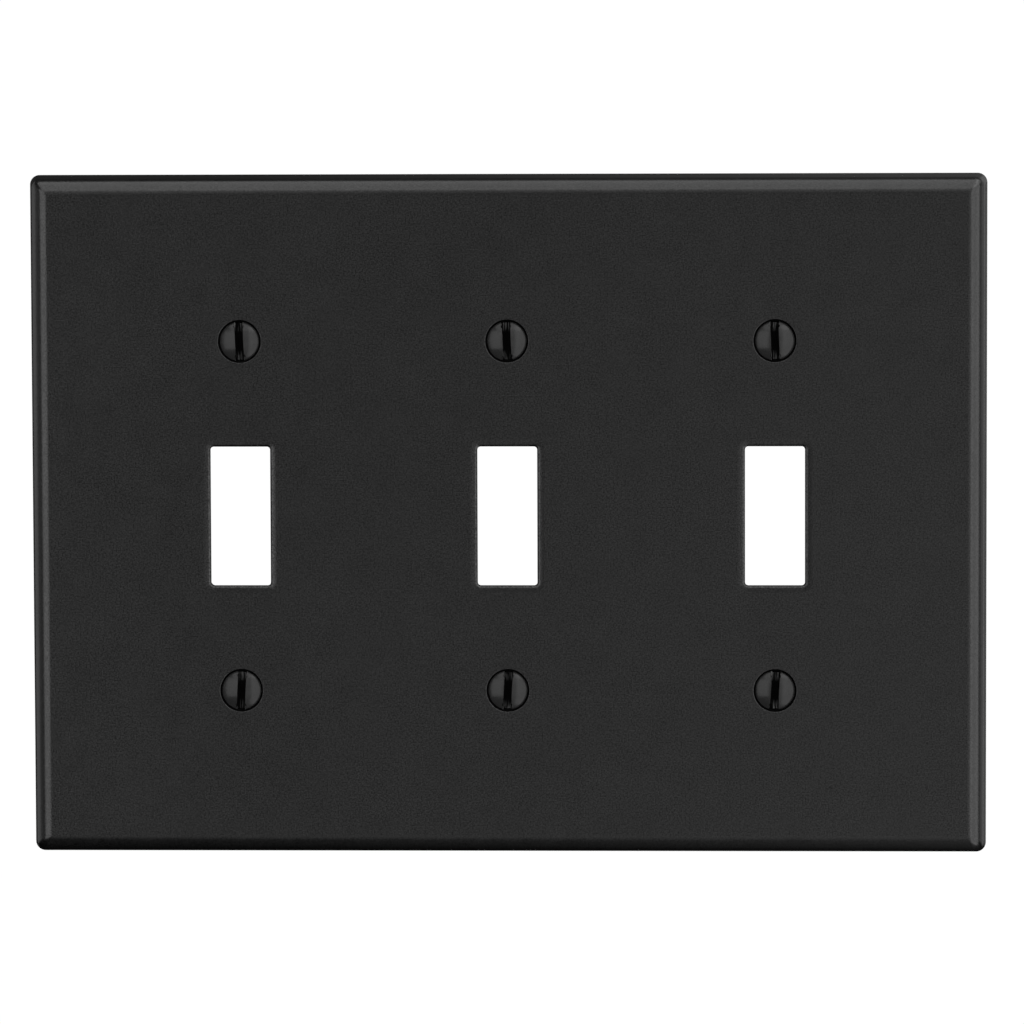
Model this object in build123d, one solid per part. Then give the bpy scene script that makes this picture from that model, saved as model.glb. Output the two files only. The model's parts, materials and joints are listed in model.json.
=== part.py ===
from build123d import *
import math
import os

# Three-gang toggle wall plate with its six slotted oval-head screws.
# X runs across the plate, Z runs up and Y runs into the wall. The back rim of the plate lies
# on Y = 0, the face looks along -Y, and the origin is the middle of the plate's outline.
# All sizes are in millimetres, and angles in degrees.

# Device spacing, shared by every wall box and switch of this pattern
GANG_COUNT = 3
GANG_PITCH = 46.04
SCREW_SPACING = 60.325

# Plate moulding
PLATE_WIDTH = 165.1
PLATE_HEIGHT = 117.5
PLATE_DEPTH = 5.6
FACE_THICKNESS = 2.4
SIDE_DRAFT = 10.0
EDGE_ROLL_RADIUS = 3.0
CORNER_RADIUS = 1.7
RIM_THICKNESS = 2.0
CAVITY_DRAFT = 5.0
CAVITY_CORNER_RADIUS = 1.2

# Toggle openings and the collars behind them
TOGGLE_WIDTH = 10.3
TOGGLE_HEIGHT = 24.0
TOGGLE_CORNER_RADIUS = 0.55
TOGGLE_EDGE_ROUND = 0.6
TOGGLE_LAND_DEPTH = 0.9
TOGGLE_RELIEF_DRAFT = 6.0
COLLAR_WALL = 1.3
COLLAR_STANDOFF = 1.5

# Countersunk screw holes and the bosses behind them
SINK_MOUTH_RADIUS = 3.68
SINK_LIP_DEPTH = 0.35
SINK_EDGE_ROUND = 0.12
HEAD_ANGLE = 82.0
HOLE_RADIUS = 1.98
BOSS_RADIUS = 4.3
BOSS_STANDOFF = 1.9
GRIP_RIB_COUNT = 3
GRIP_RIB_RADIUS = 0.3
GRIP_RIB_TIP_RADIUS = 1.8

# Stiffening ribs and ejector-pin marks on the back
RIB_THICKNESS = 1.1
RIB_HEIGHT = 1.3
RIB_ROWS = (-46.5, -19.5, 19.5, 46.5)
EJECTOR_RADIUS = 2.5
EJECTOR_DEPTH = 0.15
EJECTOR_COLUMNS = (-57.5, -11.5, 11.5, 57.5)
EJECTOR_ROWS = (-52.0, 0.0, 52.0)

# Screws, number 6 with 32 threads to the inch
THREAD_RADIUS = 1.7525
THREAD_PITCH = 0.79375
THREAD_DEPTH = 0.487
THREAD_FLANK_ANGLE = 30.0
SCREW_LENGTH = 12.7
THREAD_START_GAP = 0.35
TIP_CHAMFER = 0.45
NECK_RADIUS = 1.495
NECK_LENGTH = 2 * THREAD_PITCH
HEAD_RADIUS = 3.4
HEAD_LAND = 0.12
HEAD_CROWN = 1.0
HEAD_EDGE_ROUND = 0.1
SEAT_GAP = 0.08
SLOT_WIDTH = 1.3
SLOT_DEPTH = 1.4
SLOT_LIP_BEVEL = 0.18
SLOT_TILTS = {"top": -2.3, "bottom": 3.0}

# How far tool solids run past the faces that they cut or join
OVERRUN = 0.5

# Worked-out places along Y
FACE_BACK = FACE_THICKNESS - PLATE_DEPTH
HEAD_SLOPE = math.tan(math.radians(HEAD_ANGLE / 2))
SINK_CONE_DEPTH = (SINK_MOUTH_RADIUS - HOLE_RADIUS) / HEAD_SLOPE
HEAD_SINK = SINK_LIP_DEPTH + (SINK_MOUTH_RADIUS - HEAD_RADIUS - SEAT_GAP) / HEAD_SLOPE - HEAD_LAND
HEAD_RIM = HEAD_SINK - PLATE_DEPTH
CROWN_RADIUS = (HEAD_RADIUS**2 + HEAD_CROWN**2) / (2 * HEAD_CROWN)
THREAD_START = HEAD_RIM + HEAD_LAND + (HEAD_RADIUS - NECK_RADIUS) / HEAD_SLOPE + NECK_LENGTH
SCREW_TIP = HEAD_RIM + SCREW_LENGTH


def gang_centres():
    """X of each gang's centre line."""
    return [GANG_PITCH * (i - (GANG_COUNT - 1) / 2) for i in range(GANG_COUNT)]


def screw_centres():
    """X and Z of each screw hole."""
    return [(x, side * SCREW_SPACING / 2) for x in gang_centres() for side in (1, -1)]


def along_y(radius, start, end):
    """A cylinder on the Y axis from start to end."""
    middle = (start + end) / 2
    return Pos(0, middle, 0) * Rot(90, 0, 0) * Cylinder(radius, end - start)


def cone_along_y(start_radius, end_radius, start, end):
    """A cone on the Y axis, start_radius at start and end_radius at end."""
    middle = (start + end) / 2
    return Pos(0, middle, 0) * Rot(90, 0, 0) * Cone(end_radius, start_radius, end - start)


def block(width, height, start, end):
    """A box centred on the Y axis from start to end."""
    return Pos(0, (start + end) / 2, 0) * Box(width, end - start, height)


def rolled_bar(width, length):
    """A long bar with drafted sides and rolled front edges, its back on Y = 0."""
    draft = math.radians(SIDE_DRAFT)
    side_length = (
        PLATE_DEPTH - EDGE_ROLL_RADIUS * (1 - math.sin(draft))
    ) / math.cos(draft)
    roll_start = (
        width / 2 - side_length * math.sin(draft),
        -side_length * math.cos(draft),
    )
    roll_centre = (
        roll_start[0] - EDGE_ROLL_RADIUS * math.cos(draft),
        EDGE_ROLL_RADIUS - PLATE_DEPTH,
    )
    middle_angle = -math.pi / 4 - draft / 2
    roll_middle = (
        roll_centre[0] + EDGE_ROLL_RADIUS * math.cos(middle_angle),
        roll_centre[1] + EDGE_ROLL_RADIUS * math.sin(middle_angle),
    )
    roll_end = (roll_centre[0], -PLATE_DEPTH)
    with BuildSketch() as section:
        with BuildLine() as outline:
            Line((0, 0), (width / 2, 0))
            Line((width / 2, 0), roll_start)
            ThreePointArc(roll_start, roll_middle, roll_end)
            Line(roll_end, (0, -PLATE_DEPTH))
            mirror(outline.line, about=Plane.YZ)
        make_face()
    return extrude(section.sketch, amount=length / 2, both=True)


def plate_shell():
    """The plate's outer form: two rolled bars crossed, so that the edges mitre at the corners."""
    across = rolled_bar(PLATE_WIDTH, PLATE_HEIGHT + 2)
    upright = Rot(0, 90, 0) * rolled_bar(PLATE_HEIGHT, PLATE_WIDTH + 2)
    shell = across & upright
    mitres = [
        edge
        for edge in shell.edges()
        if edge.bounding_box().size.X > 0.1
        and edge.bounding_box().size.Y > 0.1
        and edge.bounding_box().size.Z > 0.1
    ]
    return fillet(mitres, radius=CORNER_RADIUS)


def back_cavity():
    """The hollow behind the face, narrower towards the face so that the plate leaves its mould."""
    mouth = RectangleRounded(
        PLATE_WIDTH - 2 * RIM_THICKNESS,
        PLATE_HEIGHT - 2 * RIM_THICKNESS,
        CAVITY_CORNER_RADIUS,
    )
    return extrude(Plane.XZ * mouth, amount=-FACE_BACK, taper=CAVITY_DRAFT)


def toggle_opening():
    """Cutter for one toggle opening: a straight land at the front, then wider towards the back."""
    outline = RectangleRounded(TOGGLE_WIDTH, TOGGLE_HEIGHT, TOGGLE_CORNER_RADIUS)
    land_end = TOGGLE_LAND_DEPTH - PLATE_DEPTH
    land = extrude(Plane.XZ * outline, amount=TOGGLE_LAND_DEPTH + OVERRUN)
    relief = extrude(Plane.XZ * outline, amount=land_end, taper=-TOGGLE_RELIEF_DRAFT)
    return Pos(0, land_end, 0) * (land + relief)


def toggle_collar():
    """The wall that stands round one opening on the back of the face."""
    outline = RectangleRounded(
        TOGGLE_WIDTH + 2 * COLLAR_WALL,
        TOGGLE_HEIGHT + 2 * COLLAR_WALL,
        TOGGLE_CORNER_RADIUS + COLLAR_WALL,
    )
    height = PLATE_DEPTH - FACE_THICKNESS - COLLAR_STANDOFF + OVERRUN
    return Pos(0, -COLLAR_STANDOFF, 0) * extrude(Plane.XZ * outline, amount=height)


def screw_sink():
    """Cutter for one screw hole: lip, countersink and clearance hole."""
    face = -PLATE_DEPTH
    cone_start = face + SINK_LIP_DEPTH
    cone_end = cone_start + SINK_CONE_DEPTH
    lip = along_y(SINK_MOUTH_RADIUS, face - OVERRUN, cone_start)
    cone = cone_along_y(SINK_MOUTH_RADIUS, HOLE_RADIUS, cone_start, cone_end)
    hole = along_y(HOLE_RADIUS, cone_end - OVERRUN / 10, OVERRUN)
    return lip + cone + hole


def grip_ribs():
    """Small ribs along one screw hole, close round the thread, which keep the screw in."""
    start = -PLATE_DEPTH + SINK_LIP_DEPTH + SINK_CONE_DEPTH
    rib = along_y(GRIP_RIB_RADIUS, start, -BOSS_STANDOFF - OVERRUN)
    centre = GRIP_RIB_TIP_RADIUS + GRIP_RIB_RADIUS
    ribs = [
        Rot(0, 90 + i * 360 / GRIP_RIB_COUNT, 0) * Pos(centre, 0, 0) * rib
        for i in range(GRIP_RIB_COUNT)
    ]
    return Part() + ribs


def stiffening_ribs():
    """Long ribs across the back, and upright ones between the gangs."""
    start = FACE_BACK - OVERRUN
    end = FACE_BACK + RIB_HEIGHT
    inner_width = PLATE_WIDTH - 2 * RIM_THICKNESS
    inner_height = PLATE_HEIGHT - 2 * RIM_THICKNESS
    rows = [Pos(0, 0, z) * block(inner_width, RIB_THICKNESS, start, end) for z in RIB_ROWS]
    between = [x + GANG_PITCH / 2 for x in [gang_centres()[0] - GANG_PITCH] + gang_centres()]
    columns = [Pos(x, 0, 0) * block(RIB_THICKNESS, inner_height, start, end) for x in between]
    return Part() + rows + columns


def ejector_marks():
    """Shallow round marks that the mould's ejector pins leave on the back of the face."""
    mark = along_y(EJECTOR_RADIUS, FACE_BACK - EJECTOR_DEPTH, FACE_BACK + OVERRUN)
    return Part() + [Pos(x, 0, z) * mark for x in EJECTOR_COLUMNS for z in EJECTOR_ROWS]


def edges_in_face(part, kind, shorter_than):
    """The part's edges of one kind in the plane of the plate's face, up to a length."""
    return [
        edge
        for edge in part.edges().filter_by(kind)
        if edge.length < shorter_than
        and abs(edge.bounding_box().min.Y + PLATE_DEPTH) < 1e-3
        and abs(edge.bounding_box().max.Y + PLATE_DEPTH) < 1e-3
    ]


def wall_plate():
    """The whole moulding."""
    plate = plate_shell() - back_cavity()
    plate += stiffening_ribs()
    plate += [Pos(x, 0, 0) * toggle_collar() for x in gang_centres()]
    boss = along_y(BOSS_RADIUS, FACE_BACK - OVERRUN, -BOSS_STANDOFF)
    plate += [Pos(x, 0, z) * boss for x, z in screw_centres()]
    plate -= ejector_marks()
    plate -= [Pos(x, 0, 0) * toggle_opening() for x in gang_centres()]
    toggle_mouths = edges_in_face(plate, GeomType.LINE, 1.1 * TOGGLE_HEIGHT)
    toggle_mouths += edges_in_face(plate, GeomType.CIRCLE, 2 * TOGGLE_CORNER_RADIUS)
    plate = fillet(toggle_mouths, radius=TOGGLE_EDGE_ROUND)
    plate -= [Pos(x, 0, z) * screw_sink() for x, z in screw_centres()]
    sink_mouths = [
        edge for edge in edges_in_face(plate, GeomType.CIRCLE, 2 * math.pi * BOSS_RADIUS)
        if edge.length > SINK_MOUTH_RADIUS
    ]
    plate = fillet(sink_mouths, radius=SINK_EDGE_ROUND)
    plate += [Pos(x, 0, z) * grip_ribs() for x, z in screw_centres()]
    return plate


def screw_blank():
    """A screw before threading and slotting: crown, land, countersunk head, neck and shank."""
    crown = HEAD_RIM - HEAD_CROWN
    shoulder = HEAD_RADIUS / 2
    shoulder_drop = CROWN_RADIUS - math.sqrt(CROWN_RADIUS**2 - shoulder**2)
    land_end = HEAD_RIM + HEAD_LAND
    with BuildSketch() as section:
        with BuildLine():
            ThreePointArc((0, crown), (shoulder, crown + shoulder_drop), (HEAD_RADIUS, HEAD_RIM))
            Polyline(
                (HEAD_RADIUS, HEAD_RIM),
                (HEAD_RADIUS, land_end),
                (NECK_RADIUS, THREAD_START - NECK_LENGTH),
                (NECK_RADIUS, THREAD_START),
                (THREAD_RADIUS, THREAD_START + THREAD_RADIUS - NECK_RADIUS),
                (THREAD_RADIUS, SCREW_TIP - TIP_CHAMFER),
                (THREAD_RADIUS - TIP_CHAMFER, SCREW_TIP),
                (0, SCREW_TIP),
                (0, crown),
            )
        make_face()
        rim = section.vertices().filter_by_position(Axis.Y, HEAD_RIM, HEAD_RIM)
        fillet(rim, radius=HEAD_EDGE_ROUND)
    return revolve(section.sketch, axis=Axis.Y)


def thread_groove():
    """The helical groove between the threads, from just below the neck to past the tip."""
    start = THREAD_START + THREAD_RADIUS - NECK_RADIUS + THREAD_START_GAP
    end = SCREW_TIP + THREAD_PITCH
    root_width = THREAD_PITCH / 8
    flank = math.tan(math.radians(THREAD_FLANK_ANGLE))
    mouth_width = root_width + 2 * (THREAD_DEPTH + THREAD_PITCH / 8) * flank
    inner = THREAD_RADIUS - THREAD_DEPTH
    outer = THREAD_RADIUS + THREAD_PITCH / 8
    with BuildSketch(Plane.XZ) as section:
        with BuildLine():
            Polyline(
                (outer, -mouth_width / 2),
                (inner, -root_width / 2),
                (inner, root_width / 2),
                (outer, mouth_width / 2),
                close=True,
            )
        make_face()
    path = Helix(pitch=THREAD_PITCH, height=end - start, radius=THREAD_RADIUS)
    groove = sweep(section.sketch, path=path, is_frenet=True)
    return Pos(0, start, 0) * Rot(-90, 0, 0) * groove


def screwdriver_slot():
    """Cutter for the slot across the head, with a small bevel that follows the crown."""
    crown = HEAD_RIM - HEAD_CROWN
    slot = block(SLOT_WIDTH, 2 * HEAD_RADIUS + OVERRUN, crown - OVERRUN, crown + SLOT_DEPTH)
    inner = SLOT_LIP_BEVEL - CROWN_RADIUS
    outer = -SLOT_LIP_BEVEL - CROWN_RADIUS
    with BuildSketch() as section:
        with BuildLine():
            Polyline(
                (-SLOT_WIDTH / 2, inner),
                (SLOT_WIDTH / 2, inner),
                (SLOT_WIDTH / 2 + 2 * SLOT_LIP_BEVEL, outer),
                (-SLOT_WIDTH / 2 - 2 * SLOT_LIP_BEVEL, outer),
                close=True,
            )
        make_face()
    bevel = revolve(section.sketch, axis=Axis.X, revolution_arc=90)
    return slot + Pos(0, crown + CROWN_RADIUS, 0) * Rot(-45, 0, 0) * bevel


def screw():
    """One slotted oval-head screw on the Y axis, seated, with its slot upright."""
    return screw_blank() - thread_groove() - screwdriver_slot()


def placed_screws():
    """Every screw in its hole, by name, with its slot turned as its row has it."""
    seated = screw()
    columns = dict(zip(("left", "middle", "right"), gang_centres()))
    rows = {"top": SCREW_SPACING / 2, "bottom": -SCREW_SPACING / 2}
    return {
        f"screw_{row}_{column}": Pos(x, 0, z) * Rot(0, SLOT_TILTS[row], 0) * seated
        for row, z in rows.items()
        for column, x in columns.items()
    }


nodes = {"wall_plate": wall_plate(), **placed_screws()}
os.makedirs("parts", exist_ok=True)
for name, solid in nodes.items():
    export_step(solid, f"parts/{name}.step")
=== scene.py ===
import json
import math

import bmesh
import bpy
from mathutils import Matrix, Quaternion, Vector


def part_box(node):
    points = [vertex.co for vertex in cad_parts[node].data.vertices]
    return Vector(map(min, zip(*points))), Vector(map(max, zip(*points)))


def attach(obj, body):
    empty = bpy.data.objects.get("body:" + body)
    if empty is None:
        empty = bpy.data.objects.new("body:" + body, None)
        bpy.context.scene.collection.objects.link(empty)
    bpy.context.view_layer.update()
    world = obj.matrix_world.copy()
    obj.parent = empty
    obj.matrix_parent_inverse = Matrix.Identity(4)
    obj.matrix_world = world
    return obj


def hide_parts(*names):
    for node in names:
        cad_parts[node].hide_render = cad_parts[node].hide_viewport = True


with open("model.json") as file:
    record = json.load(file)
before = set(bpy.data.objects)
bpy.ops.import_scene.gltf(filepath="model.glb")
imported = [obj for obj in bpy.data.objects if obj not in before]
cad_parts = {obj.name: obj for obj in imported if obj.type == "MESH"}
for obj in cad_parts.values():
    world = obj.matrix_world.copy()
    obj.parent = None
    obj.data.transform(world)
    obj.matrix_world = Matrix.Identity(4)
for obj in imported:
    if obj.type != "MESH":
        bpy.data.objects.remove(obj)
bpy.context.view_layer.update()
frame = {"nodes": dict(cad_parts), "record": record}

# A three-gang toggle wall plate with six slotted oval-head screws, in metres.
# X runs across the plate, Z up, and Y into the wall. The plate's face looks along -Y.

MM = 0.001

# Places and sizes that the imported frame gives
PLATE_LOW, PLATE_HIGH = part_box("wall_plate")
HALF_WIDTH = PLATE_HIGH.x
HALF_HEIGHT = PLATE_HIGH.z
FACE_Y = PLATE_LOW.y
RIM_Y = PLATE_HIGH.y
GANG_MOUNTS = [m for m in frame["record"]["mounts"] if m["name"].endswith("_gang_screws")]
GANG_CENTRES = [m["pos_m"][0] for m in GANG_MOUNTS]
SCREW_HEIGHT = GANG_MOUNTS[0]["dims"]["spacing_y_mm"] * MM / 2
SCREW_CENTRES = [(x, side * SCREW_HEIGHT) for x in GANG_CENTRES for side in (1, -1)]
SCREW_NODES = [name for name in frame["nodes"] if name.startswith("screw_")]

# Plate moulding
FACE_THICKNESS = 2.4 * MM
SIDE_DRAFT = math.radians(10.0)
EDGE_ROLL_RADIUS = 3.0 * MM
CORNER_RADIUS = 1.7 * MM
RIM_THICKNESS = 2.0 * MM
RIM_ROUND = 0.1 * MM
CAVITY_DRAFT = math.radians(5.0)
CAVITY_CORNER_RADIUS = 1.2 * MM
CAVITY_FLOOR_ROUND = 0.5 * MM
FLOOR_Y = FACE_Y + FACE_THICKNESS

# Toggle openings and collars
TOGGLE_HALF_WIDTH = 10.3 * MM / 2
TOGGLE_HALF_HEIGHT = 24.0 * MM / 2
TOGGLE_CORNER_RADIUS = 0.55 * MM
TOGGLE_EDGE_ROUND = 0.5 * MM
TOGGLE_SHOULDER = ((1.35, 0.0), (1.1, 0.007), (0.85, 0.024), (0.65, 0.047))
TOGGLE_SHOULDER_DROP = 0.073 * MM
TOGGLE_SHOULDER_TILT = math.radians(9.0)
TOGGLE_LAND_Y = FACE_Y + 0.9 * MM
TOGGLE_RELIEF_DRAFT = math.radians(6.0)
COLLAR_WALL = 1.3 * MM
COLLAR_TOP_Y = RIM_Y - 1.5 * MM
SMALL_ROUND = 0.2 * MM
TOGGLE_ARC_STEPS = 8

# Countersunk holes and bosses
HEAD_HALF_ANGLE = math.radians(82.0 / 2)
SINK_MOUTH_RADIUS = 3.68 * MM
SINK_LIP_DEPTH = 0.35 * MM
SINK_EDGE_ROUND = 0.12 * MM
HOLE_RADIUS = 1.98 * MM
BOSS_RADIUS = 4.3 * MM
BOSS_TOP_Y = RIM_Y - 1.9 * MM
BOSS_FILLET = 0.4 * MM
GRIP_RIB_COUNT = 3
GRIP_RIB_RADIUS = 0.3 * MM
GRIP_RIB_TIP_RADIUS = 1.8 * MM

# Ribs and ejector-pin marks on the back
RIB_HALF_THICKNESS = 1.1 * MM / 2
RIB_HEIGHT = 1.3 * MM
RIB_ROWS = [z * MM for z in (-46.5, -19.5, 19.5, 46.5)]
EJECTOR_RADIUS = 2.5 * MM
EJECTOR_DEPTH = 0.15 * MM
EJECTOR_COLUMNS = [x * MM for x in (-57.5, -11.5, 11.5, 57.5)]
EJECTOR_ROWS = [z * MM for z in (-52.0, 0.0, 52.0)]

# Screws
THREAD_RADIUS = 1.7525 * MM
THREAD_PITCH = 0.79375 * MM
THREAD_DEPTH = 0.487 * MM
THREAD_CREST = 0.16
THREAD_ROOT = 0.14
SCREW_LENGTH = 12.7 * MM
TIP_CHAMFER = 0.45 * MM
NECK_RADIUS = 1.495 * MM
NECK_LENGTH = 2 * THREAD_PITCH
HEAD_RADIUS = 3.4 * MM
HEAD_LAND = 0.12 * MM
HEAD_CROWN = 1.0 * MM
HEAD_EDGE_ROUND = 0.1 * MM
CROWN_RADIUS = (HEAD_RADIUS**2 + HEAD_CROWN**2) / (2 * HEAD_CROWN)
SLOT_HALF_WIDTH = 1.3 * MM / 2
SLOT_DEPTH = 1.4 * MM
SLOT_LIP = 0.2 * MM
SLOT_TILTS = {"top": math.radians(-2.3), "bottom": math.radians(3.0)}

# How far cutters run past what they cut
OVERRUN = 0.5 * MM

# Surface detail, in features per metre
GRAIN_SCALE = 4300
MOTTLE_SCALE = 260
SMUDGE_SCALE = 28
PIT_SCALE = 420
PIT_PATCH_SCALE = 300
PEEL_SCALE = 1500
RUB_SCALE = 5200
# The speckle in the painted shade of the countersinks and slots
SHADE_SPECKLE_SCALE = 3800
# The streaky pattern of the painted light towards the slot ends
STREAK_STRETCH = (5200, 900, 260)

# Greys, from the darkest to the palest in each surface
PLASTIC_GREYS = (0.0, 0.0080)
ENAMEL_GREYS = (0.016, 0.022)
# The painted shade in the countersinks and slots: a near-black standing for the shade there
PAINTED_SHADE_GREYS = (0.0005, 0.0018)
# The painted light on a slot's floor towards its ends, where light reaches it
SLOT_END_LIGHT_GREY = 0.100
SURFACE_IOR = 1.5
ENAMEL_SPECULAR = 0.22

# Studio: the glow in front, the dim level at the far right, and the soft boxes, each with its
# azimuth and elevation in degrees, then its distance, width, height and radiance
GLOW = 0.365
AMBIENT = 0.03
BOXES = (
    ("left_box", -37, 2, 1.3, 0.93, 1.3, 1.85),
    ("right_box", 54.5, -3, 1.3, 1.41, 3.1, 1.68),
    ("top_box", 7, 70, 1.3, 2.2, 1.8, 1.69),
    ("corner_box", 95, 50, 1.3, 0.8, 0.7, 1.3),
    ("back_left_box", -118, 5, 1.4, 1.25, 1.4, 0.34),
    ("back_right_box", 131, 5, 1.4, 1.36, 1.4, 0.36),
)
BACK_FILL = ("back_fill", 180, 0, 1.5, 1.4, 1.4, 16.0)

# Camera, placed round the plate's middle
CAMERA_AZIMUTH = math.radians(2.188)
CAMERA_ELEVATION = math.radians(4.515)
CAMERA_ROLL = math.radians(-0.196)
CAMERA_DISTANCE = 1.0966
CAMERA_LENS = 222.85
CAMERA_TARGET = Vector((0.00060, RIM_Y, 0.00029))


# ---------------------------------------------------------------- mesh building


def make_object(name, verts, faces):
    """A mesh object with outward normals, with doubled points merged."""
    mesh = bpy.data.meshes.new(name)
    shape = bmesh.new()
    points = [shape.verts.new(v) for v in verts]
    for face in faces:
        shape.faces.new([points[i] for i in face])
    bmesh.ops.remove_doubles(shape, verts=shape.verts, dist=1e-7)
    bmesh.ops.dissolve_degenerate(shape, edges=shape.edges, dist=1e-8)
    bmesh.ops.recalc_face_normals(shape, faces=shape.faces)
    shape.to_mesh(mesh)
    shape.free()
    obj = bpy.data.objects.new(name, mesh)
    bpy.context.scene.collection.objects.link(obj)
    return obj


def loft(name, rings):
    """A closed solid through rings of equal point counts, capped at both ends."""
    count = len(rings[0])
    verts = [point for ring in rings for point in ring]
    faces = []
    for r in range(len(rings) - 1):
        for i in range(count):
            j = (i + 1) % count
            faces.append((r * count + i, r * count + j, (r + 1) * count + j, (r + 1) * count + i))
    last = (len(rings) - 1) * count
    faces.append(tuple(range(count)))
    faces.append(tuple(last + i for i in range(count)))
    return make_object(name, verts, faces)


def plan_ring(half_width, half_height, radius, y, corner_steps=8, centre=(0.0, 0.0)):
    """Points round a rounded rectangle in the plane at y."""
    radius = max(radius, 0.0)
    ring = []
    for sx, sz, start in ((1, 1, 0), (-1, 1, 90), (-1, -1, 180), (1, -1, 270)):
        cx = centre[0] + sx * (half_width - radius)
        cz = centre[1] + sz * (half_height - radius)
        for i in range(corner_steps + 1):
            angle = math.radians(start + 90 * i / corner_steps)
            ring.append(Vector((cx + radius * math.cos(angle), y, cz + radius * math.sin(angle))))
    return ring


def lathe(name, profile, columns=96, centre=(0.0, 0.0), radius_at=None):
    """A solid turned about the Y axis from (radius, y) points; radius_at may vary a radius by angle."""
    rings = []
    for radius, y in profile:
        ring = []
        for i in range(columns):
            angle = 2 * math.pi * i / columns
            r = radius_at(radius, angle) if radius_at else radius
            ring.append(Vector((centre[0] + r * math.cos(angle), y, centre[1] + r * math.sin(angle))))
        rings.append(ring)
    return loft(name, rings)


def quarter_round(start, end, corner, steps=5):
    """Points of a quarter round from start to end inside corner, each an (a, b) pair."""
    points = []
    for i in range(steps + 1):
        angle = math.pi / 2 * i / steps
        a, b = 1 - math.sin(angle), 1 - math.cos(angle)
        points.append((
            corner[0] + a * (start[0] - corner[0]) + b * (end[0] - corner[0]),
            corner[1] + a * (start[1] - corner[1]) + b * (end[1] - corner[1]),
        ))
    return points


def combine(target, tool, operation):
    """target after a boolean with tool, which is used up."""
    step = target.modifiers.new("combine", "BOOLEAN")
    step.operation = operation
    step.solver = "MANIFOLD"
    step.object = tool
    graph = bpy.context.evaluated_depsgraph_get()
    result = bpy.data.meshes.new_from_object(target.evaluated_get(graph))
    target.modifiers.remove(step)
    old = target.data
    target.data = result
    bpy.data.meshes.remove(old)
    bpy.data.objects.remove(tool)


def finish_shading(obj, sharp_angle=32):
    """Smooth shading with hard edges kept, and flat faces kept flat."""
    mesh = obj.data
    mesh.shade_smooth()
    mesh.set_sharp_from_angle(angle=math.radians(sharp_angle))
    weighted = obj.modifiers.new("weighted_normals", "WEIGHTED_NORMAL")
    weighted.keep_sharp = True
    weighted.weight = 100


def paint(obj, main, recess, inside):
    """Gives the recess material to the faces whose centres are inside a recess, and main to the rest."""
    obj.data.materials.clear()
    obj.data.materials.append(main)
    obj.data.materials.append(recess)
    for face in obj.data.polygons:
        face.material_index = 1 if inside(face.center) else 0


# ---------------------------------------------------------------- the plate


def plate_outer():
    """The outer form: face, rolled edge, drafted side and rim, with mitred corners."""
    centre_inset = (
        EDGE_ROLL_RADIUS * math.cos(SIDE_DRAFT)
        + (RIM_Y - FACE_Y - EDGE_ROLL_RADIUS * (1 - math.sin(SIDE_DRAFT))) * math.tan(SIDE_DRAFT)
    )
    roll_steps = 24
    rings = []
    for i in range(roll_steps + 1):
        tilt = math.pi / 2 + (SIDE_DRAFT - math.pi / 2) * i / roll_steps
        inset = centre_inset - EDGE_ROLL_RADIUS * math.cos(tilt)
        y = FACE_Y + EDGE_ROLL_RADIUS * (1 - math.sin(tilt))
        radius = CORNER_RADIUS * math.cos(tilt)
        rings.append(plan_ring(HALF_WIDTH - inset, HALF_HEIGHT - inset, radius, y, 10))
    side_radius = CORNER_RADIUS * math.cos(SIDE_DRAFT)
    for step in range(4):
        angle = math.pi / 2 * step / 3
        y = RIM_Y - RIM_ROUND * (1 - math.sin(angle))
        drop = RIM_ROUND * (1 - math.cos(angle))
        inset = (RIM_Y - y) * math.tan(SIDE_DRAFT) + drop
        rings.append(plan_ring(HALF_WIDTH - inset, HALF_HEIGHT - inset, side_radius - drop, y, 10))
    return loft("wall_plate_body", rings)


def plate_cavity():
    """Cutter for the hollow back."""
    depth = RIM_Y - FLOOR_Y
    floor_inset = RIM_THICKNESS + depth * math.tan(CAVITY_DRAFT)
    rings = []
    for inset, y in (
        (RIM_THICKNESS - RIM_ROUND - OVERRUN * math.tan(CAVITY_DRAFT), RIM_Y + OVERRUN),
        (RIM_THICKNESS - RIM_ROUND, RIM_Y),
        (RIM_THICKNESS - RIM_ROUND * 0.3, RIM_Y - RIM_ROUND * 0.3),
        (RIM_THICKNESS + RIM_ROUND * math.tan(CAVITY_DRAFT), RIM_Y - RIM_ROUND),
    ):
        rings.append((inset, y))
    rings += quarter_round(
        (floor_inset - CAVITY_FLOOR_ROUND * math.tan(CAVITY_DRAFT), FLOOR_Y + CAVITY_FLOOR_ROUND),
        (floor_inset + CAVITY_FLOOR_ROUND, FLOOR_Y),
        (floor_inset, FLOOR_Y),
        6,
    )
    return loft("cavity", [
        plan_ring(
            HALF_WIDTH - inset,
            HALF_HEIGHT - inset,
            CAVITY_CORNER_RADIUS + RIM_THICKNESS - inset,
            y,
        )
        for inset, y in rings
    ])


def stiffening_rib(length, along_x, offset):
    """One long rib on the back of the face, drafted and with a rounded top."""
    foot = FLOOR_Y - OVERRUN
    top = FLOOR_Y + RIB_HEIGHT
    half = RIB_HALF_THICKNESS
    section = [(-half, foot), (-half, FLOOR_Y)]
    section += quarter_round(
        (-half * 0.93, top - SMALL_ROUND), (-half * 0.93 + SMALL_ROUND, top), (-half * 0.93, top), 3
    )
    section += [(-a, y) for a, y in reversed(section)]
    rings = []
    for end in (-length / 2, length / 2):
        if along_x:
            rings.append([Vector((end, y, offset + a)) for a, y in section])
        else:
            rings.append([Vector((offset + a, y, end)) for a, y in section])
    return loft("rib", rings)


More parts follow.
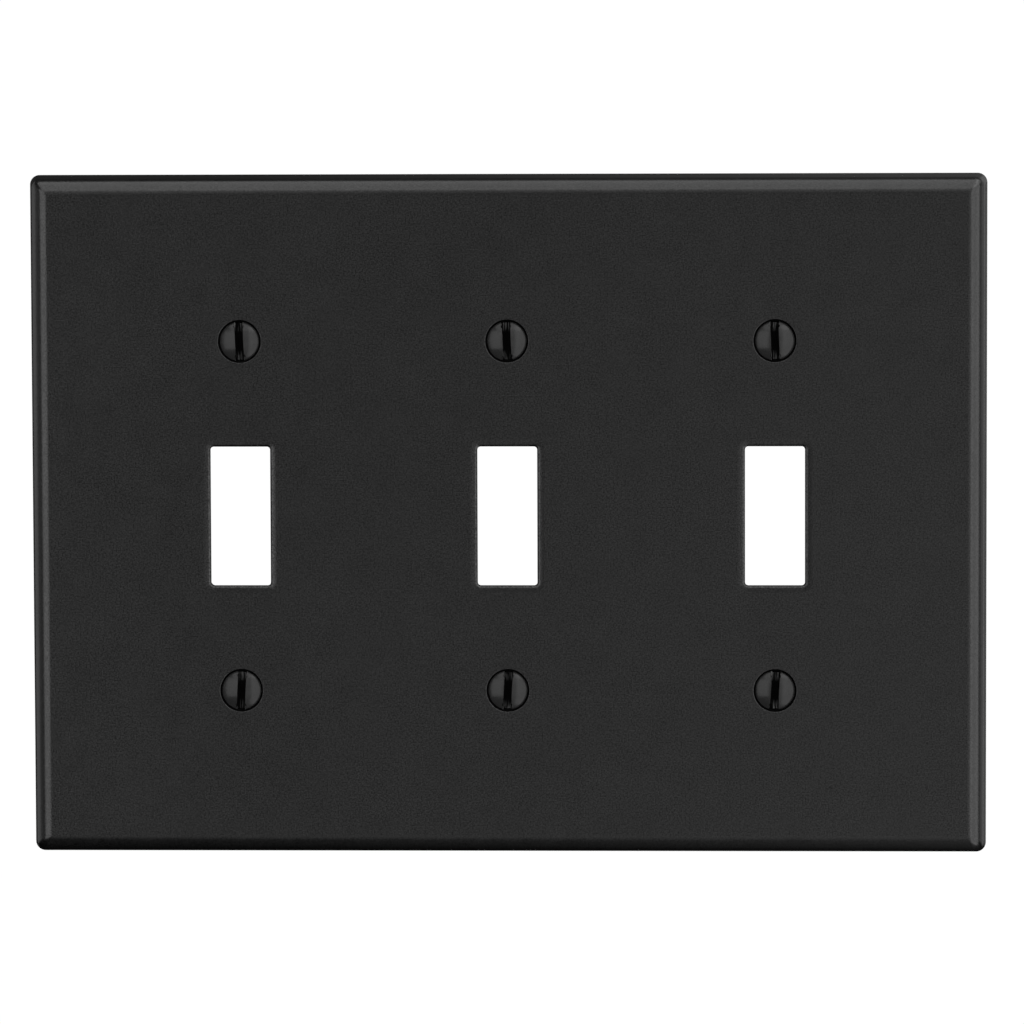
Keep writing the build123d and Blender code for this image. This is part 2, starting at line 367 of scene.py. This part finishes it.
def toggle_collar(x):
    """The wall round one opening on the back of the face."""
    outer = COLLAR_WALL
    levels = [(outer, FLOOR_Y - OVERRUN), (outer, COLLAR_TOP_Y - SMALL_ROUND)]
    levels += quarter_round(
        (outer, COLLAR_TOP_Y - SMALL_ROUND), (outer - SMALL_ROUND, COLLAR_TOP_Y), (outer, COLLAR_TOP_Y), 4
    )[1:]
    return loft("collar", [
        plan_ring(
            TOGGLE_HALF_WIDTH + grow,
            TOGGLE_HALF_HEIGHT + grow,
            TOGGLE_CORNER_RADIUS + grow,
            y,
            centre=(x, 0.0),
        )
        for grow, y in levels
    ])


def toggle_opening(x):
    """Cutter for one opening: faint shoulder, rounded edge, straight land, then wider at the back."""
    levels = [(TOGGLE_SHOULDER[0][0] * MM, FACE_Y - OVERRUN)]
    levels += [(grow * MM, FACE_Y + drop * MM) for grow, drop in TOGGLE_SHOULDER]
    arc_top = FACE_Y + TOGGLE_SHOULDER_DROP + TOGGLE_EDGE_ROUND * math.cos(TOGGLE_SHOULDER_TILT)
    for i in range(TOGGLE_ARC_STEPS + 1):
        tilt = TOGGLE_SHOULDER_TILT + (math.pi / 2 - TOGGLE_SHOULDER_TILT) * i / TOGGLE_ARC_STEPS
        grow = TOGGLE_EDGE_ROUND * (1 - math.sin(tilt))
        levels.append((grow, arc_top - TOGGLE_EDGE_ROUND * math.cos(tilt)))
    for y in (TOGGLE_LAND_Y, COLLAR_TOP_Y - SMALL_ROUND / 2):
        levels.append(((y - TOGGLE_LAND_Y) * math.tan(TOGGLE_RELIEF_DRAFT), y))
    back = levels[-1][0] + SMALL_ROUND / 2
    levels += [(back, COLLAR_TOP_Y), (back, RIM_Y + OVERRUN)]
    return loft("opening", [
        plan_ring(
            TOGGLE_HALF_WIDTH + grow,
            TOGGLE_HALF_HEIGHT + grow,
            TOGGLE_CORNER_RADIUS + grow,
            y,
            corner_steps=6,
            centre=(x, 0.0),
        )
        for grow, y in levels
    ])


def screw_boss(x, z):
    """The round boss behind one screw hole, with a filleted foot."""
    wide = BOSS_RADIUS + BOSS_FILLET
    profile = [(wide, FLOOR_Y - OVERRUN)]
    profile += quarter_round(
        (wide, FLOOR_Y), (BOSS_RADIUS, FLOOR_Y + BOSS_FILLET), (BOSS_RADIUS, FLOOR_Y), 4
    )
    profile += quarter_round(
        (BOSS_RADIUS, BOSS_TOP_Y - SMALL_ROUND),
        (BOSS_RADIUS - SMALL_ROUND, BOSS_TOP_Y),
        (BOSS_RADIUS, BOSS_TOP_Y),
        4,
    )
    return lathe("boss", profile, 72, (x, z))


def gripped_radius(radius, angle):
    """The hole's radius at an angle, less the small grip ribs that stand in it."""
    if radius > HOLE_RADIUS + 1e-9:
        return radius
    centre = GRIP_RIB_TIP_RADIUS + GRIP_RIB_RADIUS
    spacing = 2 * math.pi / GRIP_RIB_COUNT
    off = (angle - math.pi / 2 + spacing / 2) % spacing - spacing / 2
    side = centre * math.sin(off)
    if abs(side) >= GRIP_RIB_RADIUS:
        return radius
    return min(radius, centre * math.cos(off) - math.sqrt(GRIP_RIB_RADIUS**2 - side**2))


def screw_sink(x, z):
    """Cutter for one screw hole: rounded mouth, lip, countersink and clearance hole."""
    mouth = SINK_MOUTH_RADIUS
    cone_start = FACE_Y + SINK_LIP_DEPTH
    cone_end = cone_start + (mouth - HOLE_RADIUS) / math.tan(HEAD_HALF_ANGLE)
    profile = [(mouth + SINK_EDGE_ROUND, FACE_Y - OVERRUN)]
    profile += quarter_round(
        (mouth + SINK_EDGE_ROUND, FACE_Y), (mouth, FACE_Y + SINK_EDGE_ROUND), (mouth, FACE_Y), 4
    )
    profile += [
        (mouth, cone_start),
        (HOLE_RADIUS + 1e-8, cone_end),
        (HOLE_RADIUS, cone_end + 1e-6),
        (HOLE_RADIUS, BOSS_TOP_Y - SMALL_ROUND),
        (HOLE_RADIUS + SMALL_ROUND, BOSS_TOP_Y),
        (HOLE_RADIUS + SMALL_ROUND, RIM_Y + OVERRUN),
    ]
    return lathe("sink", profile, 120, (x, z), gripped_radius)


def ejector_mark(x, z):
    """Cutter for one shallow ejector-pin mark."""
    profile = [
        (EJECTOR_RADIUS, FLOOR_Y + OVERRUN),
        (EJECTOR_RADIUS, FLOOR_Y - EJECTOR_DEPTH * 0.6),
        (EJECTOR_RADIUS - EJECTOR_DEPTH * 0.4, FLOOR_Y - EJECTOR_DEPTH),
    ]
    return lathe("ejector", profile, 64, (x, z))


def in_sink(point):
    """Whether a point of the plate lies in a countersink, below its rounded mouth, where the shade is
    painted.
    """
    if point.y < FACE_Y + SINK_EDGE_ROUND / 6 or point.y > FLOOR_Y - SINK_EDGE_ROUND / 2:
        return False
    return any(math.hypot(point.x - x, point.z - z) < SINK_MOUTH_RADIUS + 1e-5 for x, z in SCREW_CENTRES)


def build_plate():
    """The finished plate in one mesh."""
    plate = plate_outer()
    combine(plate, plate_cavity(), "DIFFERENCE")
    reach = RIM_THICKNESS
    for z in RIB_ROWS:
        combine(plate, stiffening_rib(2 * (HALF_WIDTH - reach), True, z), "UNION")
    pitch = GANG_CENTRES[1] - GANG_CENTRES[0]
    for x in [GANG_CENTRES[0] - pitch / 2] + [centre + pitch / 2 for centre in GANG_CENTRES]:
        combine(plate, stiffening_rib(2 * (HALF_HEIGHT - reach), False, x), "UNION")
    for x in GANG_CENTRES:
        combine(plate, toggle_collar(x), "UNION")
    for x, z in SCREW_CENTRES:
        combine(plate, screw_boss(x, z), "UNION")
    for x in EJECTOR_COLUMNS:
        for z in EJECTOR_ROWS:
            combine(plate, ejector_mark(x, z), "DIFFERENCE")
    for x in GANG_CENTRES:
        combine(plate, toggle_opening(x), "DIFFERENCE")
    for x, z in SCREW_CENTRES:
        combine(plate, screw_sink(x, z), "DIFFERENCE")
    # The countersinks, below their rounded mouths, get painted shade: a near-black standing for the shade
    # round each head
    paint(plate, plate_plastic(), painted_recess_shade("sink_painted_shade"), in_sink)
    finish_shading(plate)
    return plate


# ---------------------------------------------------------------- the screws


def thread_radius_at(turns, fade):
    """Radius of the threaded shank, turns of pitch along its helix; fade runs from 0, plain, to 1."""
    phase = turns % 1.0
    flank = (1.0 - THREAD_CREST - THREAD_ROOT) / 2
    if phase < THREAD_CREST:
        depth = 0.0
    elif phase < THREAD_CREST + flank:
        depth = (phase - THREAD_CREST) / flank
    elif phase < THREAD_CREST + flank + THREAD_ROOT:
        depth = 1.0
    else:
        depth = (1.0 - phase) / flank
    return THREAD_RADIUS - THREAD_DEPTH * depth * fade


def screw_rings(crown_y):
    """Rings from the crown of the head to the tip, with the thread as a helix in their radii."""
    columns = 72
    rim = crown_y + HEAD_CROWN
    tip = rim + SCREW_LENGTH
    profile = []
    dome_steps = 14
    edge_angle = math.asin((HEAD_RADIUS - HEAD_EDGE_ROUND) / CROWN_RADIUS)
    for i in range(1, dome_steps + 1):
        angle = edge_angle * i / dome_steps
        profile.append((CROWN_RADIUS * math.sin(angle), crown_y + CROWN_RADIUS * (1 - math.cos(angle))))
    profile += quarter_round(
        profile[-1], (HEAD_RADIUS, rim + HEAD_EDGE_ROUND * 0.8), (HEAD_RADIUS - 0.02 * MM, rim), 4
    )[1:]
    profile.append((HEAD_RADIUS, rim + HEAD_LAND))
    neck = rim + HEAD_LAND + (HEAD_RADIUS - NECK_RADIUS) / math.tan(HEAD_HALF_ANGLE)
    profile.append((NECK_RADIUS + 0.08 * MM, neck - 0.09 * MM))
    profile.append((NECK_RADIUS, neck + 0.05 * MM))
    profile.append((NECK_RADIUS, neck + NECK_LENGTH))
    rings = [[point] * columns for point in profile]
    start = neck + NECK_LENGTH + (THREAD_RADIUS - NECK_RADIUS)
    steps = round((tip - start) / THREAD_PITCH * 16)
    for i in range(steps + 1):
        y = start + (tip - start) * i / steps
        chamfer_left = max(0.0, y - (tip - TIP_CHAMFER))
        ring = []
        for column in range(columns):
            turns = (y - start) / THREAD_PITCH - column / columns
            fade = min(1.0, max(0.0, (y - start) / (0.75 * THREAD_PITCH)))
            radius = min(thread_radius_at(turns, fade), THREAD_RADIUS - chamfer_left)
            ring.append((radius, y))
        rings.append(ring)
    return rings


def slot_cutter(crown_y):
    """Cutters for the screwdriver slot: a straight cut and the small round along its lips."""
    low, high = crown_y - OVERRUN, crown_y + SLOT_DEPTH
    reach = HEAD_RADIUS + OVERRUN
    half = SLOT_HALF_WIDTH
    corners = [(-half, low), (half, low), (half, high), (-half, high)]
    straight = loft("slot", [[Vector((x, y, z)) for x, y in corners] for z in (-reach, reach)])
    centre_y = crown_y + CROWN_RADIUS
    section = [(-SLOT_HALF_WIDTH - SLOT_LIP, CROWN_RADIUS + OVERRUN)]
    section += quarter_round(
        (-SLOT_HALF_WIDTH - SLOT_LIP, CROWN_RADIUS),
        (-SLOT_HALF_WIDTH, CROWN_RADIUS - SLOT_LIP),
        (-SLOT_HALF_WIDTH, CROWN_RADIUS),
        5,
    )
    section += [(-x, radius) for x, radius in reversed(section)]
    sweep_steps = 40
    rings = []
    for i in range(sweep_steps + 1):
        angle = math.radians(-42 + 84 * i / sweep_steps)
        rings.append([
            Vector((x, centre_y - radius * math.cos(angle), radius * math.sin(angle)))
            for x, radius in section
        ])
    return straight, loft("slot_lips", rings)


def in_slot(point, crown_y):
    """Whether a point of an unturned screw lies in its slot or on the slot's lips."""
    return (
        abs(point.x) < SLOT_HALF_WIDTH + 0.9 * SLOT_LIP
        and point.y < crown_y + SLOT_DEPTH + 1e-6
        and point.y > crown_y + math.hypot(point.x, point.z) ** 2 / (2 * CROWN_RADIUS) + SLOT_LIP / 10
        and math.hypot(point.x, point.z) < HEAD_RADIUS
    )


def build_screw(node, enamel, slot_painted_shade):
    """One screw, seated where its CAD node is, with its slot turned as its row has it."""
    low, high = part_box(node)
    crown_y = high.y - SCREW_LENGTH - HEAD_CROWN
    verts = []
    for ring in screw_rings(crown_y):
        count = len(ring)
        verts.append([
            Vector((
                radius * math.cos(2 * math.pi * i / count),
                y,
                radius * math.sin(2 * math.pi * i / count),
            ))
            for i, (radius, y) in enumerate(ring)
        ])
    piece = loft(node + "_body", verts)
    for tool in slot_cutter(crown_y):
        combine(piece, tool, "DIFFERENCE")
    # The slot and its lips get painted shade
    paint(piece, enamel, slot_painted_shade, lambda point: in_slot(point, crown_y))
    row = node.split("_")[1]
    centre_x = min(GANG_CENTRES, key=lambda x: abs(x - (low.x + high.x) / 2))
    centre_z = SCREW_HEIGHT if row == "top" else -SCREW_HEIGHT
    turn = Matrix.Rotation(SLOT_TILTS[row], 4, "Y")
    piece.data.transform(Matrix.Translation((centre_x, 0.0, centre_z)) @ turn)
    finish_shading(piece, 28)
    return piece


# ---------------------------------------------------------------- materials


class Nodes:
    """A small helper that adds and links shader nodes in one material."""

    def __init__(self, name):
        self.material = bpy.data.materials.new(name)
        self.material.use_nodes = True
        self.tree = self.material.node_tree
        self.shader = self.tree.nodes["Principled BSDF"]
        self.place = self.tree.nodes.new("ShaderNodeTexCoord").outputs["Object"]

    def axes(self):
        """The object's own X, Y and Z at each point."""
        node = self.tree.nodes.new("ShaderNodeSeparateXYZ")
        self.link(self.place, node.inputs["Vector"])
        return node.outputs

    def link(self, source, socket):
        self.tree.links.new(source, socket)

    def noise(self, scale, detail=2.0, roughness=0.5, stretch=None):
        """Noise over the object's own coordinates; scale is in features per metre."""
        node = self.tree.nodes.new("ShaderNodeTexNoise")
        node.inputs["Scale"].default_value = scale
        node.inputs["Detail"].default_value = detail
        node.inputs["Roughness"].default_value = roughness
        source = self.place
        if stretch:
            mapping = self.tree.nodes.new("ShaderNodeMapping")
            mapping.inputs["Scale"].default_value = stretch
            self.link(self.place, mapping.inputs["Vector"])
            source = mapping.outputs["Vector"]
        self.link(source, node.inputs["Vector"])
        return node.outputs["Fac"]

    def cells(self, scale):
        """Distance to the nearest of scattered points, in cells."""
        node = self.tree.nodes.new("ShaderNodeTexVoronoi")
        node.inputs["Scale"].default_value = scale
        self.link(self.place, node.inputs["Vector"])
        return node.outputs["Distance"]

    def spread(self, value, low, high, to_low, to_high):
        """value mapped from one range to another, clamped."""
        node = self.tree.nodes.new("ShaderNodeMapRange")
        node.inputs["From Min"].default_value = low
        node.inputs["From Max"].default_value = high
        node.inputs["To Min"].default_value = to_low
        node.inputs["To Max"].default_value = to_high
        self.link(value, node.inputs["Value"])
        return node.outputs["Result"]

    def math(self, operation, first, second):
        """first and second combined; second may be a number."""
        node = self.tree.nodes.new("ShaderNodeMath")
        node.operation = operation
        self.link(first, node.inputs[0])
        if isinstance(second, (int, float)):
            node.inputs[1].default_value = second
        else:
            self.link(second, node.inputs[1])
        return node.outputs["Value"]

    def tint(self, factor, low, high):
        """The colour low with the grey high laid over it by factor; low may be a grey too."""
        node = self.tree.nodes.new("ShaderNodeMix")
        node.data_type = "RGBA"
        if isinstance(low, float):
            node.inputs[6].default_value = (low, low, low, 1.0)
        else:
            self.link(low, node.inputs[6])
        node.inputs[7].default_value = (high, high, high, 1.0)
        self.link(factor, node.inputs[0])
        return node.outputs[2]

    def bump(self, height, distance, strength=1.0, under=None):
        """A bump of height times distance, over an earlier one."""
        node = self.tree.nodes.new("ShaderNodeBump")
        node.inputs["Strength"].default_value = strength
        node.inputs["Distance"].default_value = distance
        self.link(height, node.inputs["Height"])
        if under:
            self.link(under, node.inputs["Normal"])
        return node.outputs["Normal"]


def plate_plastic():
    """Black moulded plastic: a fine grain, fainter on the rolled edges, faint mottling, sparse pits."""
    n = Nodes("plate_plastic")
    grain = n.noise(GRAIN_SCALE, 0.0)
    mottle = n.noise(MOTTLE_SCALE, 3.0, 0.6)
    smudge = n.noise(SMUDGE_SCALE, 3.0, 0.55)
    pit_field = n.cells(PIT_SCALE)
    pit_choice = n.noise(PIT_PATCH_SCALE, 1.0)
    pits = n.math(
        "MULTIPLY",
        n.spread(pit_field, 0.10, 0.20, 1.0, 0.0),
        n.spread(pit_choice, 0.66, 0.72, 0.0, 0.6),
    )
    shade = n.math("ADD", n.spread(grain, 0.22, 0.78, 0.0, 0.8), n.spread(mottle, 0.3, 0.7, 0.04, 0.16))
    shade = n.math("SUBTRACT", shade, pits)
    n.link(n.tint(shade, *PLASTIC_GREYS), n.shader.inputs["Base Color"])
    axes = n.axes()
    from_edge = n.math(
        "MAXIMUM",
        n.math("SUBTRACT", n.math("ABSOLUTE", axes["X"], 0.0), HALF_WIDTH),
        n.math("SUBTRACT", n.math("ABSOLUTE", axes["Z"], 0.0), HALF_HEIGHT),
    )
    on_face = n.spread(from_edge, -1.2 * EDGE_ROLL_RADIUS, -0.9 * EDGE_ROLL_RADIUS, 1.0, 0.35)
    depth = n.math("MULTIPLY", on_face, n.spread(axes["X"], -HALF_WIDTH, HALF_WIDTH, 0.88, 0.58))
    sparkle = n.math("MULTIPLY", n.math("SUBTRACT", grain, 0.5), depth)
    gloss = n.math("ADD", sparkle, n.spread(mottle, 0.3, 0.7, 0.49, 0.51))
    gloss = n.math("SUBTRACT", gloss, n.math("MULTIPLY", pits, 0.1))
    n.link(gloss, n.shader.inputs["Specular IOR Level"])
    rough = n.math("ADD", n.spread(mottle, 0.3, 0.7, 0.232, 0.248), n.spread(smudge, 0.3, 0.7, -0.010, 0.010))
    n.link(n.math("ADD", rough, n.math("MULTIPLY", pits, 0.1)), n.shader.inputs["Roughness"])
    fine = n.bump(grain, 0.002 * MM, 0.3)
    n.link(n.bump(n.math("MULTIPLY", pits, -1.0), 0.01 * MM, 0.5, fine), n.shader.inputs["Normal"])
    n.shader.inputs["IOR"].default_value = SURFACE_IOR
    return n.material


def screw_enamel():
    """Black enamel over steel: smooth, slightly orange-peeled, rubbed on the crown."""
    n = Nodes("screw_enamel")
    peel = n.noise(PEEL_SCALE, 2.0, 0.5)
    rub = n.noise(RUB_SCALE, 3.0, 0.65)
    colour = n.tint(n.spread(rub, 0.35, 0.7, 0.0, 1.0), *ENAMEL_GREYS)
    n.link(colour, n.shader.inputs["Base Color"])
    n.link(n.spread(rub, 0.3, 0.7, 0.17, 0.25), n.shader.inputs["Roughness"])
    n.link(n.bump(peel, 0.012 * MM, 0.5), n.shader.inputs["Normal"])
    n.shader.inputs["IOR"].default_value = SURFACE_IOR
    n.shader.inputs["Specular IOR Level"].default_value = ENAMEL_SPECULAR
    return n.material


def painted_recess_shade(name, lit_end_streaks=False):
    """Painted shade down in a countersink or a slot: a dull near-black with a faint speckle; in a slot,
    painted light too, in a streaky pattern towards its ends where the floor is lit.
    """
    n = Nodes(name)
    # A faint speckle in the painted shade
    shade_speckle = n.noise(SHADE_SPECKLE_SCALE, 2.0, 0.6)
    colour = n.tint(n.spread(shade_speckle, 0.4, 0.7, 0.0, 1.0), *PAINTED_SHADE_GREYS)
    if lit_end_streaks:
        # Painted light: paler streaky marks on the slot floor towards its ends, where the slot grows shallow
        # and light reaches its floor
        height = n.math("ABSOLUTE", n.axes()["Z"], 0.0)
        off_centre = n.math("ABSOLUTE", n.math("SUBTRACT", height, SCREW_HEIGHT), 0.0)
        near_end = n.spread(off_centre, 0.45 * HEAD_RADIUS, HEAD_RADIUS, 0.0, 1.0)
        streak_pattern = n.spread(n.noise(1.0, 2.0, 0.6, stretch=STREAK_STRETCH), 0.50, 0.62, 0.0, 1.0)
        painted_end_light = n.math("MULTIPLY", near_end, streak_pattern)
        colour = n.tint(painted_end_light, colour, SLOT_END_LIGHT_GREY)
    n.link(colour, n.shader.inputs["Base Color"])
    n.link(n.spread(shade_speckle, 0.3, 0.7, 0.65, 0.85), n.shader.inputs["Roughness"])
    n.link(n.spread(shade_speckle, 0.4, 0.7, 0.02, 0.05), n.shader.inputs["Specular IOR Level"])
    return n.material


# ---------------------------------------------------------------- stage, light and camera


def plain_material(name, colour, emission):
    """A plain pale material for the stage."""
    material = bpy.data.materials.new(name)
    material.use_nodes = True
    shader = material.node_tree.nodes["Principled BSDF"]
    shader.inputs["Base Color"].default_value = (*colour, 1.0)
    shader.inputs["Roughness"].default_value = 0.9
    shader.inputs["Specular IOR Level"].default_value = 0.0
    shader.inputs["Emission Color"].default_value = (1.0, 1.0, 1.0, 1.0)
    shader.inputs["Emission Strength"].default_value = emission
    return material


def build_stage():
    """A pale floor well below the plate, in a plain white room that lights nothing."""
    floor_z, reach = -0.85, 2.6
    corners = [(x, y, z) for z in (floor_z - 0.01, reach) for x, y in (
        (-reach, -reach), (reach, -reach), (reach, reach), (-reach, reach)
    )]
    floor = make_object("floor", [(x, y, floor_z) for x, y, _ in corners[:4]], [(0, 1, 2, 3)])
    room = make_object("room", corners, [
        (0, 1, 2, 3), (7, 6, 5, 4), (0, 4, 5, 1), (1, 5, 6, 2), (2, 6, 7, 3), (3, 7, 4, 0),
    ])
    floor.data.materials.append(plain_material("floor_pale", (0.80,) * 3, 0.45))
    room.data.materials.append(plain_material("room_white", (0.02,) * 3, 1.0))
    for piece in (floor, room):
        piece.visible_glossy = False
        piece.visible_diffuse = False
        piece.visible_shadow = False


def soft_box(name, azimuth, elevation, distance, width, height, radiance):
    """A rectangular soft light aimed at the plate's middle, of an even radiance."""
    light = bpy.data.lights.new(name, "AREA")
    light.shape = "RECTANGLE"
    light.size = width
    light.size_y = height
    light.energy = radiance * math.pi * width * height
    obj = bpy.data.objects.new(name, light)
    bpy.context.scene.collection.objects.link(obj)
    a, e = math.radians(azimuth), math.radians(elevation)
    away = Vector((math.sin(a) * math.cos(e), -math.cos(a) * math.cos(e), math.sin(e)))
    obj.location = away * distance
    obj.rotation_mode = "QUATERNION"
    obj.rotation_quaternion = away.to_track_quat("Z", "Y")
    obj.visible_camera = False
    return obj


def build_world():
    """A dim studio: a soft glow in front, brighter above and to the right, and dark below left."""
    world = bpy.data.worlds.new("studio")
    bpy.context.scene.world = world
    world.use_nodes = True
    tree = world.node_tree
    background = tree.nodes["Background"]
    place = tree.nodes.new("ShaderNodeTexCoord")
    axes = tree.nodes.new("ShaderNodeSeparateXYZ")
    tree.links.new(place.outputs["Generated"], axes.inputs["Vector"])

    def ramp(source, low, high, to_low, to_high, kind="SMOOTHSTEP"):
        node = tree.nodes.new("ShaderNodeMapRange")
        node.interpolation_type = kind
        for key, value in (("From Min", low), ("From Max", high), ("To Min", to_low), ("To Max", to_high)):
            node.inputs[key].default_value = value
        tree.links.new(source, node.inputs["Value"])
        return node.outputs["Result"]

    def join(operation, first, second):
        node = tree.nodes.new("ShaderNodeMath")
        node.operation = operation
        tree.links.new(first, node.inputs[0])
        tree.links.new(second, node.inputs[1])
        return node.outputs["Value"]

    def product(first, *others):
        for other in others:
            first = join("MULTIPLY", first, other)
        return first

    def total(first, *others):
        for other in others:
            first = join("ADD", first, other)
        return first

    x, y, z = axes.outputs
    # The glow in front, which the flat face reflects: paler to the right and lower down, darker in
    # the far left and lower left, and never below nothing
    glow = total(
        ramp(x, -0.3, 0.3, GLOW - 0.38, GLOW + 0.38, "LINEAR"),
        ramp(z, -0.3, 0.2, 0.36, -0.24, "LINEAR"),
        ramp(x, -0.11, -0.06, -0.065, 0.0, "LINEAR"),
        ramp(z, -0.10, -0.035, 0.05, 0.0, "LINEAR"),
        product(
            ramp(z, -0.15, -0.105, -0.2, 0.0, "LINEAR"), ramp(x, -0.09, 0.05, 1.0, 0.0, "LINEAR")
        ),
    )
    glow = product(ramp(y, -1.0, -0.68, 1.0, 0.0), ramp(glow, 0.0, 1.0, 0.0, 1.0, "LINEAR"))
    # The dim sides, which the outer part of the rolled edges reflects
    sides = product(
        ramp(z, -0.45, 0.0, 0.0, 1.0),
        total(ramp(x, -1.0, -0.75, 0.42, 0.0), ramp(x, 0.75, 1.0, AMBIENT, AMBIENT + 0.38)),
    )
    # Above and in front, and above and behind, for the top edge, and below for the bottom edge
    above_front = product(
        ramp(z, 0.08, 0.56, 0.0, 0.92, "LINEAR"), ramp(y, -0.88, -0.72, 1.0, 0.0),
        ramp(x, -0.5, -0.2, 0.0, 1.0),
    )
    above_behind = product(
        ramp(x, -0.07, 0.05, 0.0, 0.13, "LINEAR"), ramp(y, 0.2, 0.5, 0.0, 1.0), ramp(z, 0.2, 0.4, 0.0, 1.0)
    )
    below = product(
        ramp(x, -0.05, 0.04, 0.0, 1.0, "LINEAR"), ramp(y, -0.6, 0.5, 0.40, 0.02, "LINEAR"),
        ramp(z, -0.7, -0.35, 1.0, 0.0),
    )
    strength = total(glow, sides, above_front, above_behind, below)
    tree.links.new(strength, background.inputs["Strength"])
    background.inputs["Color"].default_value = (1.0, 1.0, 1.0, 1.0)


def build_lights():
    """Soft boxes all round, and a fill behind that shows in no reflection."""
    for box in BOXES:
        soft_box(*box)
    soft_box(*BACK_FILL).visible_glossy = False


def build_camera():
    """The camera, nearly square on to the plate, a little above it and to its right."""
    back = Vector((
        math.sin(CAMERA_AZIMUTH) * math.cos(CAMERA_ELEVATION),
        -math.cos(CAMERA_AZIMUTH) * math.cos(CAMERA_ELEVATION),
        math.sin(CAMERA_ELEVATION),
    ))
    data = bpy.data.cameras.new("camera")
    data.sensor_width = 36.0
    data.lens = CAMERA_LENS
    data.clip_start, data.clip_end = 0.05, 20.0
    camera = bpy.data.objects.new("camera", data)
    bpy.context.scene.collection.objects.link(camera)
    camera.location = CAMERA_TARGET + back * CAMERA_DISTANCE
    camera.rotation_mode = "QUATERNION"
    roll = Quaternion((0.0, 0.0, 1.0), CAMERA_ROLL)
    camera.rotation_quaternion = (-back).to_track_quat("-Z", "Y") @ roll
    bpy.context.scene.camera = camera


# ---------------------------------------------------------------- assembly

plate = build_plate()
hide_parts("wall_plate")
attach(plate, "plate")

# The screws' enamel, and painted shade in the slots with painted light towards the slot ends
screw_materials = (screw_enamel(), painted_recess_shade("slot_painted_shade", lit_end_streaks=True))
for node in SCREW_NODES:
    piece = build_screw(node, *screw_materials)
    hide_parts(node)
    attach(piece, node)

build_stage()
build_world()
build_lights()
build_camera()
bpy.context.scene.view_settings.view_transform = "Standard"
